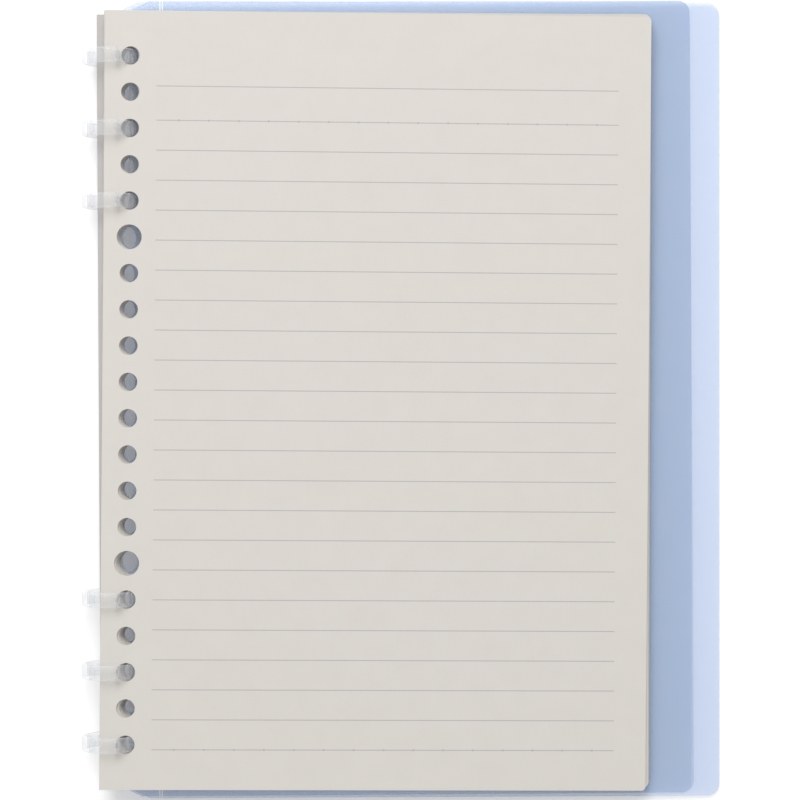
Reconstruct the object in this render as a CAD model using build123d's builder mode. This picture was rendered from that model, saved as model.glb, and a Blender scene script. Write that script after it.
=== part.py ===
from build123d import *
from math import atan2, cos, degrees, radians, sin, sqrt
import os

# A loose-leaf ring binder, folded back on itself: two units of three clear rings carry a pad
# of leaves on top of the back cover, and the front cover lies underneath.
# X runs across the leaves, away from the rings, Y up the page and Z up from the table.

# Hole pattern shared by the leaves and the covers
hole_pitch = 25.4 / 3
hole_count = 20
hole_ease = 0.25
cover_hole_ease = -0.05
wide_hole_radius = 2.9
wide_holes = [5, 14]

# Rings: a flat band bent round a circle, threaded at every other hole
ring_radius = 5.85
band_thickness = 1.3
band_width = 3.5
band_round = 0.6
unit_holes = {"upper": [0, 2, 4], "lower": [15, 17, 19]}
bar_width = 2.6
bar_thickness = 1.5
bar_round = 0.5
bar_overhang = 2.4
bar_drop = 1.45

# Gate of each ring: hinged near the leaves, with a lap joint on the free side
hinge_angle = 65.0
seam_angle = 130.0
seam_gap = 0.5
pintle_radius = 0.3
pintle_clearance = 0.05
barrel_radius = 0.55
barrel_width = 1.4
knuckle_gap = 0.1
swing_gap = 0.2
tongue_reach = 8.0
tongue_thickness = 0.4
tongue_width = 2.2
tongue_round = 0.1
tongue_clearance = 0.1
tongue_side_clearance = 0.2
lap_play = 1.0
cut_overrun = 0.5

# Leaves
paper = 0.1
paper_pitch = 0.115
leaf_width = 128.0
leaf_height = 182.0
leaf_margin = 6.0
leaf_corner = 1.0
top_leaf_height = 3.4
top_leaf_skew = -0.45
pad_height = 2.8
pad_skew = -0.15
pad_lean = 0.22
pack_count = 8
leaves_per_pack = 3

# Backing sheet under the pad, with a broader margin
backing = 0.3
backing_width = 129.3
backing_height = 181.0
backing_margin = 7.9
backing_skew = 0.34
backing_shift = 0.43
backing_gap = 0.1

# Covers
cover = 0.5
cover_height = 188.0
back_cover_width = 141.8
front_cover_width = 137.8
cover_margin = 3.5
crease_reach = 6.4
cover_corner = 3.0
spine_cut_x = 7.0
spine_cut_y = 3.5
back_strip_height = -2.65
back_strip_shift = 0.5
front_strip_height = -4.7
front_strip_shift = -0.3
front_cover_skew = 0.3
resting_gap = 0.3

# Values worked out from the sizes above
ring_outer = ring_radius + band_thickness / 2
ring_inner = ring_radius - band_thickness / 2
ring_z = ring_outer
ear_radius = band_thickness / 2
hole_radius = (band_width + band_thickness) / 2 - hole_ease
cover_hole_radius = (band_width + band_thickness) / 2 - cover_hole_ease
bar_u = ring_radius
back_hole_u = sqrt(ring_radius**2 - back_strip_height**2) + back_strip_shift
front_hole_u = sqrt(ring_radius**2 - front_strip_height**2) + front_strip_shift
overall_width = ring_outer + back_hole_u - cover_margin + back_cover_width
ring_x = ring_outer - overall_width / 2
hole_rows = [((hole_count - 1) / 2 - i) * hole_pitch for i in range(hole_count)]
pintle_bore = pintle_radius + pintle_clearance
ear_span = band_width + 2 * cut_overrun
pocket_inner = ring_inner - tongue_clearance
pocket_thickness = ring_radius - pocket_inner
pocket_width = tongue_width + 2 * tongue_side_clearance

# Slopes of the sheets: each one leaves the rings high and comes to rest on what is under it
front_crease = (ring_x + front_hole_u + crease_reach, ring_z + front_strip_height - cover / 2)
front_reach = front_cover_width - cover_margin - crease_reach
front_slope = degrees(atan2(front_crease[1], front_reach))
back_crease = (ring_x + back_hole_u + crease_reach, ring_z + back_strip_height - cover / 2)
back_reach = back_cover_width - cover_margin - crease_reach
seat_reach = front_crease[0] + front_reach - back_crease[0]
back_slope = degrees(atan2(back_crease[1] - cover - resting_gap, seat_reach))
leaf_hole_u = sqrt(ring_radius**2 - top_leaf_height**2)
backing_u = ring_radius - backing_shift
backing_bottom = pad_height - pack_count * leaves_per_pack * paper_pitch - backing_gap - backing
pad_reach = leaf_width - leaf_margin
pad_edge_x = ring_x + leaf_hole_u + pad_reach
back_top_z = back_crease[1] + cover - (pad_edge_x - back_crease[0]) * sin(radians(back_slope))
pad_drop = ring_z + backing_bottom - back_top_z - resting_gap
pad_slope = degrees(atan2(pad_drop, pad_reach))


def ring_point(angle, radius, y):
    """A point on a ring's plane, from its angle above +X and its distance from the ring's centre."""
    return (ring_x + radius * cos(radians(angle)), y, ring_z + radius * sin(radians(angle)))


def band_section(y, angle, thickness=band_thickness, width=band_width, radius=ring_radius, edge=band_round):
    """The band's rounded section, square to the ring at the given angle."""
    outward = (cos(radians(angle)), 0, sin(radians(angle)))
    along = (-sin(radians(angle)), 0, cos(radians(angle)))
    with BuildSketch(Plane(origin=ring_point(angle, radius, y), x_dir=outward, z_dir=along)) as section:
        RectangleRounded(thickness, width, edge)
    return section.sketch


def ring_axis(y):
    """The ring's own axis, turned so that a positive arc runs from +X up to +Z."""
    return Axis((ring_x, y, ring_z), (0, -1, 0))


def hinge_disc(y, width, radius):
    """A disc on the gate's hinge axis, from its middle in Y, its width and its radius."""
    centre = ring_point(hinge_angle, ring_radius, y - width / 2)
    with BuildSketch(Plane(origin=centre, x_dir=(1, 0, 0), z_dir=(0, 1, 0))) as disc:
        Circle(radius)
    return disc.sketch


def sheet_plane(hole_u, height, slope=0.0, skew=0.0):
    """A sheet's underside: origin on its row of holes, falling away from the rings by slope."""
    origin = (ring_x + hole_u, 0, ring_z + height)
    level = Plane(origin=origin, x_dir=(cos(radians(slope)), 0, -sin(radians(slope))),
                  z_dir=(sin(radians(slope)), 0, cos(radians(slope))))
    return level.rotated((0, 0, skew))


def punched(plane, width, height, margin, corner, radius):
    """A punched sheet's outline, with its row of holes on the plane's Y axis."""
    with BuildSketch(plane) as sheet:
        with Locations((width / 2 - margin, 0)):
            Rectangle(width, height)
        fillet(sheet.vertices().group_by(Axis.X)[-1], corner)
        for i, row in enumerate(hole_rows):
            with Locations((0, row)):
                Circle(wide_hole_radius if i in wide_holes else radius, mode=Mode.SUBTRACT)
    return sheet.sketch


def leaf_plane(height, skew):
    """Where a leaf at this height on the rings lies, a little further out the lower it is."""
    hole_u = leaf_hole_u + (top_leaf_height - height) * pad_lean
    return sheet_plane(hole_u, height, pad_slope, skew)


def leaf_outline(plane):
    """One leaf's outline."""
    return punched(plane, leaf_width, leaf_height, leaf_margin, leaf_corner, hole_radius)


def cover_strip(plane):
    """The cover's punched edge, from its cut corners to the crease."""
    left = -cover_margin
    right = crease_reach
    top = cover_height / 2
    with BuildSketch(plane) as strip:
        with BuildLine():
            Polyline((left + spine_cut_x, top), (right, top), (right, -top), (left + spine_cut_x, -top),
                     (left, spine_cut_y - top), (left, top - spine_cut_y), close=True)
        make_face()
        for i, row in enumerate(hole_rows):
            with Locations((0, row)):
                Circle(wide_hole_radius if i in wide_holes else cover_hole_radius, mode=Mode.SUBTRACT)
    return strip.sketch


def cover_panel(plane, reach):
    """The cover's plain panel, from the crease to its rounded fore edge."""
    with BuildSketch(plane) as panel:
        with Locations((reach / 2, 0)):
            Rectangle(reach, cover_height)
        fillet(panel.vertices().group_by(Axis.X)[-1], cover_corner)
    return panel.sketch


def panel_plane(crease, slope, skew=0.0):
    """A panel's underside: origin at the middle of its crease line."""
    strip = Plane(origin=(crease[0], 0, crease[1]), x_dir=(1, 0, 0), z_dir=(0, 0, 1)).rotated((0, 0, skew))
    return strip.rotated((0, slope, 0))


os.makedirs("parts", exist_ok=True)

# Ring units: a bar, hidden between the pad and the back cover, and three open rings on it
for unit, holes in unit_holes.items():
    rows = [hole_rows[i] for i in holes]
    with BuildPart() as ring_comb:
        bar_plane = Plane.XZ.offset(-min(rows) + bar_overhang)
        with BuildSketch(bar_plane):
            with Locations((ring_x + bar_u, ring_z - bar_drop)):
                RectangleRounded(bar_width, bar_thickness, bar_round)
        extrude(amount=-(max(rows) - min(rows) + 2 * bar_overhang))
        for row in rows:
            revolve(band_section(row, seam_angle), axis=ring_axis(row),
                    revolution_arc=360 - seam_angle + hinge_angle)
            tongue = band_section(row, seam_angle - tongue_reach, tongue_thickness, tongue_width,
                                  ring_radius - tongue_thickness / 2 - tongue_clearance, tongue_round)
            revolve(tongue, axis=ring_axis(row), revolution_arc=tongue_reach + lap_play)
            slot_width = barrel_width + 2 * knuckle_gap
            ear_width = (band_width - slot_width) / 2
            for side in (-1, 1):
                ear_y = row + side * (slot_width + ear_width) / 2
                extrude(hinge_disc(ear_y, ear_width, ear_radius), amount=ear_width)
            extrude(hinge_disc(row, slot_width, ear_radius + knuckle_gap), amount=slot_width,
                    mode=Mode.SUBTRACT)
            extrude(hinge_disc(row, ear_span, pintle_bore), amount=ear_span, mode=Mode.SUBTRACT)
    ring_comb.part.label = f"{unit}_ring_comb"
    export_step(ring_comb.part, f"parts/{unit}_ring_comb.step")

# Gates: the short arc that closes each ring, with its hinge barrel and pintle in one piece
for unit, holes in unit_holes.items():
    for number, hole in enumerate(holes, start=1):
        row = hole_rows[hole]
        with BuildPart() as gate:
            revolve(band_section(row, hinge_angle), axis=ring_axis(row),
                    revolution_arc=seam_angle - seam_gap - hinge_angle)
            pocket = band_section(row, seam_angle - tongue_reach - lap_play, pocket_thickness, pocket_width,
                                  (ring_radius + pocket_inner) / 2, tongue_round)
            revolve(pocket, axis=ring_axis(row), revolution_arc=tongue_reach + 2 * lap_play,
                    mode=Mode.SUBTRACT)
            clear_width = (ear_span - barrel_width) / 2
            for side in (-1, 1):
                clear_y = row + side * (barrel_width + clear_width) / 2
                extrude(hinge_disc(clear_y, clear_width, ear_radius + swing_gap), amount=clear_width,
                        mode=Mode.SUBTRACT)
            extrude(hinge_disc(row, barrel_width, barrel_radius), amount=barrel_width)
            extrude(hinge_disc(row, band_width, pintle_radius), amount=band_width)
        gate.part.label = f"{unit}_gate_{number}"
        export_step(gate.part, f"parts/{unit}_gate_{number}.step")

# Back cover: punched strip and panel in one sheet, with a rounded bead where it bends
with BuildPart() as back_cover:
    strip_plane = sheet_plane(back_hole_u, back_strip_height - cover / 2)
    extrude(cover_strip(strip_plane), amount=cover)
    extrude(cover_panel(panel_plane(back_crease, back_slope), back_reach), amount=cover)
    with BuildSketch(Plane.XZ.offset(-cover_height / 2)):
        with Locations((back_crease[0], back_crease[1] + cover / 2)):
            Circle(cover / 2)
    extrude(amount=cover_height)
back_cover.part.label = "back_cover"
export_step(back_cover.part, "parts/back_cover.step")

# Front cover: the strip rides on the rings, and the panel folds on the crease at its underside
with BuildPart() as front_cover_strip:
    strip_plane = sheet_plane(front_hole_u, front_strip_height - cover / 2, 0, front_cover_skew)
    extrude(cover_strip(strip_plane), amount=cover)
front_cover_strip.part.label = "front_cover_strip"
export_step(front_cover_strip.part, "parts/front_cover_strip.step")

with BuildPart() as front_cover:
    front_plane = panel_plane(front_crease, front_slope, front_cover_skew)
    extrude(cover_panel(front_plane, front_reach), amount=cover)
front_cover.part.label = "front_cover"
export_step(front_cover.part, "parts/front_cover.step")

# Top leaf
with BuildPart() as top_leaf:
    extrude(leaf_outline(leaf_plane(top_leaf_height, top_leaf_skew)), amount=paper)
top_leaf.part.label = "top_leaf"
export_step(top_leaf.part, "parts/top_leaf.step")

# Pad: packs of separate leaves, one under the other
for pack in range(pack_count):
    with BuildPart() as leaf_pack:
        for place in range(leaves_per_pack):
            depth = (pack * leaves_per_pack + place) * paper_pitch
            extrude(leaf_outline(leaf_plane(pad_height - depth, pad_skew)), amount=paper)
    leaf_pack.part.label = f"pad_leaves_{pack + 1}"
    export_step(leaf_pack.part, f"parts/pad_leaves_{pack + 1}.step")

# Backing sheet
with BuildPart() as backing_sheet:
    backing_plane = sheet_plane(backing_u, backing_bottom, pad_slope, backing_skew)
    extrude(punched(backing_plane, backing_width, backing_height, backing_margin, leaf_corner, hole_radius),
            amount=backing)
backing_sheet.part.label = "backing_sheet"
export_step(backing_sheet.part, "parts/backing_sheet.step")
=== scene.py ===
"""Looks of a slim loose-leaf ring binder, folded back on itself, around its fixed CAD frame."""

import logging
import math
from dataclasses import dataclass, field
from enum import Enum
from typing import Any, Union

import bpy
from mathutils import Matrix, Vector


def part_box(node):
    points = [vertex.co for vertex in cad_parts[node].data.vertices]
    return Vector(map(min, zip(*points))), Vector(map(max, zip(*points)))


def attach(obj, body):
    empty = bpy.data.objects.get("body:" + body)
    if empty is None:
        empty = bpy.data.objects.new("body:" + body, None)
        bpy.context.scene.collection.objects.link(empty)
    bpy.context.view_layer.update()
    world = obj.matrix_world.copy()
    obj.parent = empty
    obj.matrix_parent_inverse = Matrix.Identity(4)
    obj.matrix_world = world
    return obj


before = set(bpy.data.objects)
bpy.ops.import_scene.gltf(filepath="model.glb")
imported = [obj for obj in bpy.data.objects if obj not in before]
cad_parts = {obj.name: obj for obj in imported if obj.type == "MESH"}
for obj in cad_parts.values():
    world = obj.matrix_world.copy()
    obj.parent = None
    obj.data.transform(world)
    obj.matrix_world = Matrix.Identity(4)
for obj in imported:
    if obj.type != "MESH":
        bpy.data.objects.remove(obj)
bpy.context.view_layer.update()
MM = 0.001
# Sizes of one leaf, in millimetres
LEAF_WIDTH = 128.0
LEAF_HEIGHT = 182.0
PAPER = 0.1
LOG = logging.getLogger("ring_binder")


class Side(Enum):
    """Which face of a leaf the ink lies on."""

    FRONT = 1
    BACK = -1


class Mark(Enum):
    """What one printed mark is."""

    RULE = "rule"
    DOT = "dot"


def linear(hex_colour: str, alpha: float = 1.0) -> tuple[float, float, float, float]:
    """Turns an sRGB hex value to linear light.

    Args:
        hex_colour: Six hex digits, red first.
        alpha: The fourth number of the result.

    Returns:
        Red, green, blue and alpha.
    """
    parts = [int(hex_colour[i:i + 2], 16) / 255 for i in (0, 2, 4)]
    red, green, blue = (p / 12.92 if p <= 0.04045 else ((p + 0.055) / 1.055) ** 2.4 for p in parts)
    return (red, green, blue, alpha)


def add_node(tree: bpy.types.NodeTree, kind: str, settings: dict[str, Any] | None = None,
             inputs: dict[Union[str, int], Any] | None = None) -> bpy.types.Node:
    """Adds a node with its settings and links.

    Args:
        tree: The tree that gets it.
        kind: The node's type name.
        settings: Its own attributes.
        inputs: Input name or number to a value, or to the socket that feeds it.

    Returns:
        The new node.
    """
    node = tree.nodes.new(kind)
    for name, value in (settings or {}).items():
        setattr(node, name, value)
    for name, value in (inputs or {}).items():
        if isinstance(value, bpy.types.NodeSocket):
            tree.links.new(value, node.inputs[name])
        else:
            node.inputs[name].default_value = value
    return node


@dataclass(frozen=True)
class Finish:
    """A surface, named for its material.

    Sizes are in millimetres. Grain is the size of the relief in the surface, and cloud the size of
    its faint changes of colour. Clearcoat is the weight of a glossy skin, and glow a light from within.
    """

    name: str
    colour: str
    second_colour: str
    roughness: float
    ior: float
    grain: float
    grain_height: float
    cloud: float
    clearcoat: float = 0.0
    glow: float = 0.0
    relief_strength: float = 0.6

    def start(self) -> tuple[bpy.types.Material, bpy.types.NodeTree, bpy.types.NodeSocket]:
        """Makes the empty material.

        Returns:
            The material, its tree and the Object coordinates.
        """
        material = bpy.data.materials.new(self.name)
        material.use_nodes = True
        tree = material.node_tree
        tree.nodes.clear()
        place = add_node(tree, "ShaderNodeTexCoord").outputs["Object"]
        return material, tree, place

    def tint(self, tree: bpy.types.NodeTree, place: bpy.types.NodeSocket) -> bpy.types.NodeSocket:
        """The clouded colour.

        Args:
            tree: The material's tree.
            place: The coordinates that it reads.

        Returns:
            The colour socket.
        """
        clouds = add_node(tree, "ShaderNodeTexNoise", None,
                          {"Vector": place, "Scale": 1 / (self.cloud * MM), "Detail": 3.0,
                           "Roughness": 0.6})
        blend = add_node(tree, "ShaderNodeMix", {"data_type": "RGBA"},
                         {0: clouds.outputs["Fac"], 6: linear(self.colour), 7: linear(self.second_colour)})
        return blend.outputs[2]

    def relief(self, tree: bpy.types.NodeTree, place: bpy.types.NodeSocket) -> bpy.types.NodeSocket:
        """The fine relief of the surface, as a normal.

        Args:
            tree: The material's tree.
            place: The coordinates that it reads.

        Returns:
            The normal socket.
        """
        grain = add_node(tree, "ShaderNodeTexNoise", None,
                         {"Vector": place, "Scale": 1 / (self.grain * MM), "Detail": 2.0, "Roughness": 0.5})
        bump = add_node(tree, "ShaderNodeBump", None,
                        {"Height": grain.outputs["Fac"], "Strength": self.relief_strength,
                         "Distance": self.grain_height * MM})
        return bump.outputs["Normal"]

    def build(self) -> bpy.types.Material:
        """Makes the material.

        Returns:
            The finished material.
        """
        material, tree, place = self.start()
        self.close(tree, self.tint(tree, place), self.relief(tree, place))
        return material

    def close(self, tree: bpy.types.NodeTree, colour: bpy.types.NodeSocket,
              normal: bpy.types.NodeSocket) -> None:
        """Ends the tree in its shader.

        Args:
            tree: The material's tree.
            colour: The colour socket.
            normal: The normal socket.
        """
        shader = add_node(tree, "ShaderNodeBsdfPrincipled", None,
                          {"Base Color": colour, "Normal": normal, "Roughness": self.roughness,
                           "IOR": self.ior, "Coat Weight": self.clearcoat, "Emission Strength": self.glow})
        add_node(tree, "ShaderNodeOutputMaterial", None, {"Surface": shader.outputs["BSDF"]})


@dataclass(frozen=True)
class ClearFinish(Finish):
    """A see-through moulding or sheet, which tints what is behind it.

    Tint is what one of its two faces lets through. Body is the share of a face that scatters light,
    and rim is how much that grows where the face is seen edge-on. Whitening is how much it grows
    where bending has whitened the plastic.
    """

    tint_colour: str = "ffffff"
    body: float = 0.08
    rim: float = 0.4
    edge_blend: float = 0.25
    whitening: float = 0.35

    def close(self, tree: bpy.types.NodeTree, colour: bpy.types.NodeSocket,
              normal: bpy.types.NodeSocket, whitened: bpy.types.NodeSocket | None = None) -> None:
        """Ends the tree in a clear shader mixed with a scattering one.

        Args:
            tree: The material's tree.
            colour: The scattered colour's socket.
            normal: The normal socket.
            whitened: Where bending has whitened the plastic, if anywhere.
        """
        shader = add_node(tree, "ShaderNodeBsdfPrincipled", None,
                          {"Base Color": colour, "Normal": normal, "Roughness": self.roughness,
                           "IOR": self.ior, "Coat Weight": self.clearcoat})
        clear = add_node(tree, "ShaderNodeBsdfTransparent", None, {"Color": linear(self.tint_colour)})
        edge = add_node(tree, "ShaderNodeLayerWeight", None, {"Blend": self.edge_blend})
        share = add_node(tree, "ShaderNodeMapRange", None,
                         {"Value": edge.outputs["Facing"], "To Min": self.body,
                          "To Max": self.body + self.rim})
        part = share.outputs[0]
        if whitened is not None:
            part = add_node(tree, "ShaderNodeMath", {"operation": "MULTIPLY_ADD", "use_clamp": True},
                            {0: whitened, 1: self.whitening, 2: part}).outputs[0]
        mixed = add_node(tree, "ShaderNodeMixShader", None,
                         {0: part, 1: clear.outputs[0], 2: shader.outputs[0]})
        add_node(tree, "ShaderNodeOutputMaterial", None, {"Surface": mixed.outputs[0]})


@dataclass(frozen=True)
class CreasedSheet(ClearFinish):
    """A translucent sheet with a pressed living hinge, which scatters light along its two edges.

    Sizes are in millimetres. The crease is placed from the sheet's fore edge.
    """

    crease_from_edge: float = 132.07
    crease_half_gap: float = 0.3
    crease_line: float = 0.12
    crease_colour: str = "ffffff"

    def build(self) -> bpy.types.Material:
        """Makes the material.

        Returns:
            The finished material.
        """
        material, tree, place = self.start()
        across = add_node(tree, "ShaderNodeSeparateXYZ", None, {0: place}).outputs["X"]
        crease_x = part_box("back_cover")[1].x - self.crease_from_edge * MM
        off = add_node(tree, "ShaderNodeMath", {"operation": "SUBTRACT"}, {0: across, 1: crease_x})
        far = add_node(tree, "ShaderNodeMath", {"operation": "ABSOLUTE"}, {0: off.outputs[0]})
        edge = add_node(tree, "ShaderNodeMath", {"operation": "COMPARE"},
                        {0: far.outputs[0], 1: self.crease_half_gap * MM, 2: self.crease_line * MM})
        colour = add_node(tree, "ShaderNodeMix", {"data_type": "RGBA"},
                          {0: edge.outputs[0], 6: self.tint(tree, place), 7: linear(self.crease_colour)})
        self.close(tree, colour.outputs[2], self.relief(tree, place), edge.outputs[0])
        return material


# Uncoated woodfree paper: dry and matt, warm grey-white, with a faint cloudy formation
LEAF_PAPER = Finish("woodfree_paper", "cdc9c3", "c8c4be", 0.92, 1.47, 0.18, 0.004, 6.0)
# Backing sheet paper, rougher than the leaves; its darker grey is painted shade, standing in for the shadow
# of the pad above it
BACKING_PAPER = Finish("backing_paper_painted_shade", "bcb9b7", "b4b1af", 0.95, 1.47, 0.22, 0.006, 5.0)
# Offset ink: thin grey, soaked into the paper, so as matt as the sheet
RULING_INK = Finish("offset_ink", "aeacac", "a8a7a8", 0.88, 1.47, 0.18, 0.002, 3.0)
# Injection-moulded clear polystyrene: glossy, near colourless, a little milky where it is thick
RING_PLASTIC = ClearFinish("clear_polystyrene", "eef0f3", "e6e9ee", 0.1, 1.59, 1.6, 0.004, 4.0,
                           clearcoat=0.4, tint_colour="fefefe", body=0.08, rim=0.62)
# Extruded polypropylene sheet with a fine frosted face: it scatters blue, and is softly glossy
FRONT_SHEET = ClearFinish("frosted_polypropylene", "c8e4ff", "c2e0fe", 0.38, 1.49, 0.45, 0.010, 9.0,
                          tint_colour="f8f5f6", body=0.25, rim=0.3)
# The same sheet with a hinge pressed in, whitened along its two edges
BACK_SHEET = CreasedSheet("creased_polypropylene", "c8e4ff", "c2e0fe", 0.38, 1.49, 0.45, 0.010, 9.0,
                          tint_colour="f8f5f6", body=0.25, rim=0.3)
# Matt white laminate, lit a little from within as a light table is
FLOOR_FINISH = Finish("white_laminate", "fbfbfb", "f9f9f9", 0.8, 1.45, 0.9, 0.004, 40.0, glow=0.08)


def dress(node: str, material: bpy.types.Material) -> None:
    """Gives a CAD node its one material.

    Args:
        node: The node's name.
        material: Its finish.
    """
    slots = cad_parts[node].data.materials
    slots.clear()
    slots.append(material)
    LOG.info("%s: %s", node, material.name)


def centre_of(node: str) -> Vector:
    """The middle of a CAD node's box."""
    low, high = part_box(node)
    return (low + high) / 2


@dataclass
class RingUnits:
    """Two moulded units of three rings, each ring with its gate."""

    units: tuple[str, ...] = ("upper", "lower")
    rings: int = 3

    def nodes(self) -> list[str]:
        """The names of the moulded pieces."""
        gates = [f"{unit}_gate_{i}" for unit in self.units for i in range(1, self.rings + 1)]
        return [f"{unit}_ring_comb" for unit in self.units] + gates

    def build(self) -> None:
        """Dresses the moulded pieces."""
        material = RING_PLASTIC.build()
        for node in self.nodes():
            dress(node, material)


@dataclass
class Covers:
    """The two translucent covers."""

    front: tuple[str, ...] = ("front_cover", "front_cover_strip")
    back: tuple[str, ...] = ("back_cover",)

    def build(self) -> None:
        """Dresses the covers."""
        for nodes, finish in ((self.front, FRONT_SHEET), (self.back, BACK_SHEET)):
            material = finish.build()
            for node in nodes:
                dress(node, material)


@dataclass
class MarkRow:
    """A straight row of equal printed marks, from a Geometry Nodes tree. Sizes in millimetres."""

    name: str
    mark: Mark
    count: int
    start: tuple[float, float]
    step: tuple[float, float]
    size: tuple[float, float]
    thickness: float = 0.01
    dot_sides: int = 12

    def tree(self, ink: bpy.types.Material) -> bpy.types.NodeTree:
        """Makes the tree, with named inputs for its sizes.

        Args:
            ink: The marks' material.

        Returns:
            The tree.
        """
        tree = bpy.data.node_groups.new(f"{self.name}_marks", "GeometryNodeTree")
        for name, kind in (("Count", "NodeSocketInt"), ("Start", "NodeSocketVector"),
                           ("Step", "NodeSocketVector"), ("Size", "NodeSocketVector")):
            tree.interface.new_socket(name, in_out="INPUT", socket_type=kind)
        tree.interface.new_socket("Geometry", in_out="OUTPUT", socket_type="NodeSocketGeometry")
        given = add_node(tree, "NodeGroupInput").outputs
        row = add_node(tree, "GeometryNodeMeshLine", {"mode": "OFFSET"},
                       {"Count": given["Count"], "Start Location": given["Start"], "Offset": given["Step"]})
        if self.mark is Mark.RULE:
            shape = add_node(tree, "GeometryNodeMeshCube", None, {"Size": given["Size"]})
        else:
            parts = add_node(tree, "ShaderNodeSeparateXYZ", None, {0: given["Size"]}).outputs
            half = add_node(tree, "ShaderNodeMath", {"operation": "MULTIPLY"}, {0: parts["X"], 1: 0.5})
            shape = add_node(tree, "GeometryNodeMeshCylinder", {"fill_type": "NGON"},
                             {"Vertices": self.dot_sides, "Radius": half.outputs[0], "Depth": parts["Z"]})
        copies = add_node(tree, "GeometryNodeInstanceOnPoints", None,
                          {"Points": row.outputs["Mesh"], "Instance": shape.outputs["Mesh"]})
        real = add_node(tree, "GeometryNodeRealizeInstances", None, {"Geometry": copies.outputs[0]})
        inked = add_node(tree, "GeometryNodeSetMaterial", None,
                         {"Geometry": real.outputs[0], "Material": ink})
        add_node(tree, "NodeGroupOutput", None, {"Geometry": inked.outputs[0]})
        return tree

    def build(self, ink: bpy.types.Material, place: Matrix) -> bpy.types.Object:
        """Makes the row as a plain mesh in its place.

        Args:
            ink: The marks' material.
            place: From the leaf's face to the row frame.

        Returns:
            The row's object, at the origin.
        """
        piece = bpy.data.objects.new(self.name, bpy.data.meshes.new(self.name))
        bpy.context.scene.collection.objects.link(piece)
        modifier = piece.modifiers.new("marks", "NODES")
        modifier.node_group = self.tree(ink)
        values = {"Count": self.count, "Start": (self.start[0] * MM, self.start[1] * MM, 0.0),
                  "Step": (self.step[0] * MM, self.step[1] * MM, 0.0),
                  "Size": (self.size[0] * MM, self.size[1] * MM, self.thickness * MM)}
        for item in modifier.node_group.interface.items_tree:
            if item.in_out == "INPUT":
                modifier[item.identifier] = values[item.name]
        shaped = piece.evaluated_get(bpy.context.evaluated_depsgraph_get())
        mesh = bpy.data.meshes.new_from_object(shaped)
        piece.modifiers.clear()
        piece.data = mesh
        mesh.transform(place)
        return piece


@dataclass
class LeafRuling:
    """Ruled lines and tick dots on one face of a leaf. Sizes in millimetres, from its top left corner."""

    name: str
    body: str
    centre: Vector
    skew: float
    slope: float
    side: Side
    lift: float = 0.005
    left: float = 12.1
    right: float = 120.4
    header: float = 17.6
    first: float = 25.6
    pitch: float = 7.0
    lines: int = 22
    line_width: float = 0.2
    dot: float = 0.5
    dots: int = 15
    dots_left: float = 17.3
    dot_thickness: float = 0.014

    def place(self) -> Matrix:
        """From the leaf's face, seen from that face, to the row frame."""
        turn = Matrix.Rotation(math.radians(self.skew), 4, "Z") @ Matrix.Rotation(self.slope, 4, "Y")
        over = Matrix.Translation((0, 0, self.side.value * (PAPER / 2 + self.lift) * MM))
        return Matrix.Translation(self.centre) @ turn @ over

    def rows(self) -> list[MarkRow]:
        """The rows of marks, from the top down."""
        middle = (self.left + self.right - LEAF_WIDTH) / 2
        length = self.right - self.left
        top = LEAF_HEIGHT / 2
        last = self.first + (self.lines - 1) * self.pitch
        rule = (length, self.line_width)
        dot = (self.dot, self.dot)
        across = self.dots_left - LEAF_WIDTH / 2
        return [
            MarkRow(f"{self.name}_header_rule", Mark.RULE, 1, (middle, top - self.header), (0, 0), rule),
            MarkRow(f"{self.name}_rules", Mark.RULE, self.lines, (middle, top - self.first),
                    (0, -self.pitch), rule),
            MarkRow(f"{self.name}_upper_dots", Mark.DOT, self.dots, (across, top - self.first),
                    (self.pitch, 0), dot, self.dot_thickness),
            MarkRow(f"{self.name}_lower_dots", Mark.DOT, self.dots, (across, top - last),
                    (self.pitch, 0), dot, self.dot_thickness),
        ]

    def build(self, ink: bpy.types.Material) -> None:
        """Prints the face.

        Args:
            ink: The marks' material.
        """
        for row in self.rows():
            piece = row.build(ink, self.place())
            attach(piece, self.body)
            LOG.info("%s rides on %s", piece.name, self.body)


@dataclass
class LeafPad:
    """The leaves, their backing sheet and their ruling. Sizes in millimetres."""

    packs: int = 8
    leaf_pitch: float = 0.115
    lean: float = 0.22
    top_skew: float = -0.45
    pad_skew: float = -0.15

    def slope(self) -> float:
        """How far the top leaf falls away from the rings, in radians."""
        low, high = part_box("top_leaf")
        return math.asin((high.z - low.z - PAPER * MM) / (LEAF_WIDTH * MM))

    def build(self) -> None:
        """Dresses the sheets and prints the leaves that can be seen."""
        paper = LEAF_PAPER.build()
        dress("top_leaf", paper)
        for pack in range(1, self.packs + 1):
            dress(f"pad_leaves_{pack}", paper)
        dress("backing_sheet", BACKING_PAPER.build())
        ink = RULING_INK.build()
        above = Vector((-self.leaf_pitch * self.lean, 0, self.leaf_pitch)) * MM
        first_leaf = centre_of("pad_leaves_1") + above
        top = centre_of("top_leaf")
        slope = self.slope()
        for ruling in (LeafRuling("top_leaf_front", "top_leaf", top, self.top_skew, slope, Side.FRONT),
                       LeafRuling("top_leaf_back", "top_leaf", top, self.top_skew, slope, Side.BACK),
                       LeafRuling("pad_front", "pad", first_leaf, self.pad_skew, slope, Side.FRONT)):
            ruling.build(ink)


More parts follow.
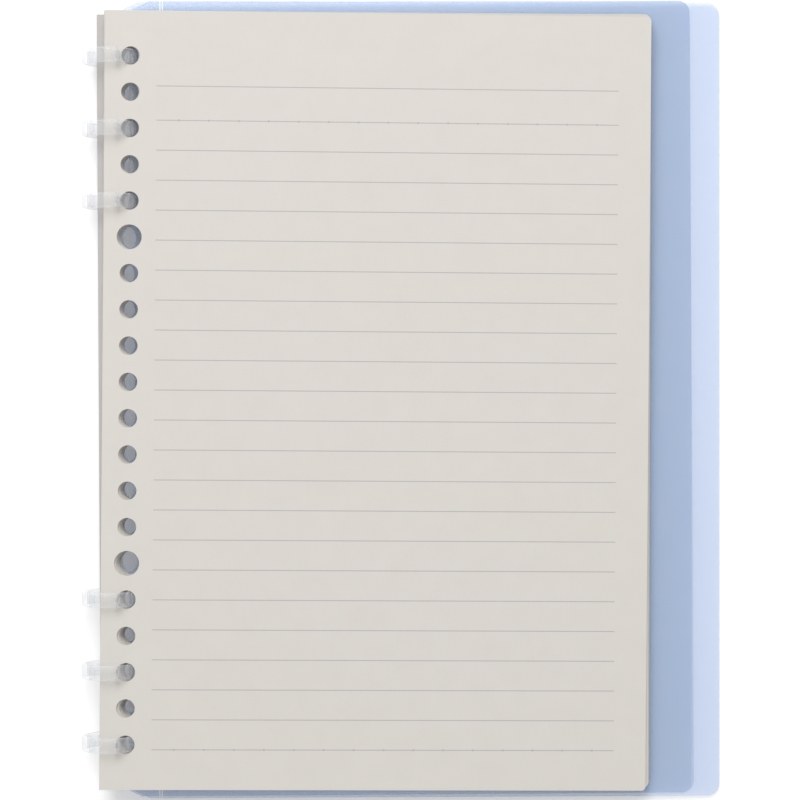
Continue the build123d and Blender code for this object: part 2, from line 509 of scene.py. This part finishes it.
@dataclass
class Studio:
    """Floor, soft light and camera. Sizes in metres, and the lens's own in millimetres."""

    floor_half: float = 2.5
    sky: float = 0.68
    key_power: float = 10.8
    key_size: float = 0.7
    key_at: Vector = field(default_factory=lambda: Vector((-0.15, 0.75, 0.95)))
    camera_at: Vector = field(default_factory=lambda: Vector((-0.0005, 0.0129, 0.568)))
    focal: float = 107.6
    shift_down: float = 0.069
    sensor: float = 36.0
    nearest: float = 0.01

    def floor(self) -> None:
        """Lays the floor, which isn't part of the object."""
        half = self.floor_half
        mesh = bpy.data.meshes.new("floor")
        corners = [(-half, -half, 0), (half, -half, 0), (half, half, 0), (-half, half, 0)]
        mesh.from_pydata(corners, [], [(0, 1, 2, 3)])
        mesh.materials.append(FLOOR_FINISH.build())
        floor = bpy.data.objects.new("floor", mesh)
        bpy.context.scene.collection.objects.link(floor)

    def light(self) -> None:
        """Sets a soft sky and one large lamp beyond the head of the page."""
        world = bpy.data.worlds.new("studio")
        world.use_nodes = True
        tree = world.node_tree
        tree.nodes.clear()
        glow = add_node(tree, "ShaderNodeBackground", None, {"Color": (1, 1, 1, 1), "Strength": self.sky})
        add_node(tree, "ShaderNodeOutputWorld", None, {"Surface": glow.outputs[0]})
        bpy.context.scene.world = world
        lamp = bpy.data.lights.new("key", "AREA")
        lamp.energy = self.key_power
        lamp.size = self.key_size
        key = bpy.data.objects.new("key", lamp)
        key.location = self.key_at
        key.rotation_euler = (-self.key_at).to_track_quat("-Z", "Y").to_euler()
        bpy.context.scene.collection.objects.link(key)

    def camera(self) -> None:
        """Looks straight down on the page."""
        lens = bpy.data.cameras.new("camera")
        lens.lens = self.focal
        lens.sensor_width = self.sensor
        lens.shift_y = -self.shift_down
        lens.clip_start = self.nearest
        view = bpy.data.objects.new("camera", lens)
        view.location = self.camera_at
        bpy.context.scene.collection.objects.link(view)
        bpy.context.scene.camera = view

    def build(self) -> None:
        """Sets up the studio."""
        self.floor()
        self.light()
        self.camera()
        bpy.context.scene.view_settings.view_transform = "Standard"


def main() -> None:
    """Builds every sub-assembly in order."""
    logging.basicConfig(level=logging.INFO, format="%(name)s: %(message)s")
    for assembly in (RingUnits(), Covers(), LeafPad(), Studio()):
        assembly.build()
        LOG.info("%s done", type(assembly).__name__)


if __name__ == "__main__":
    main()
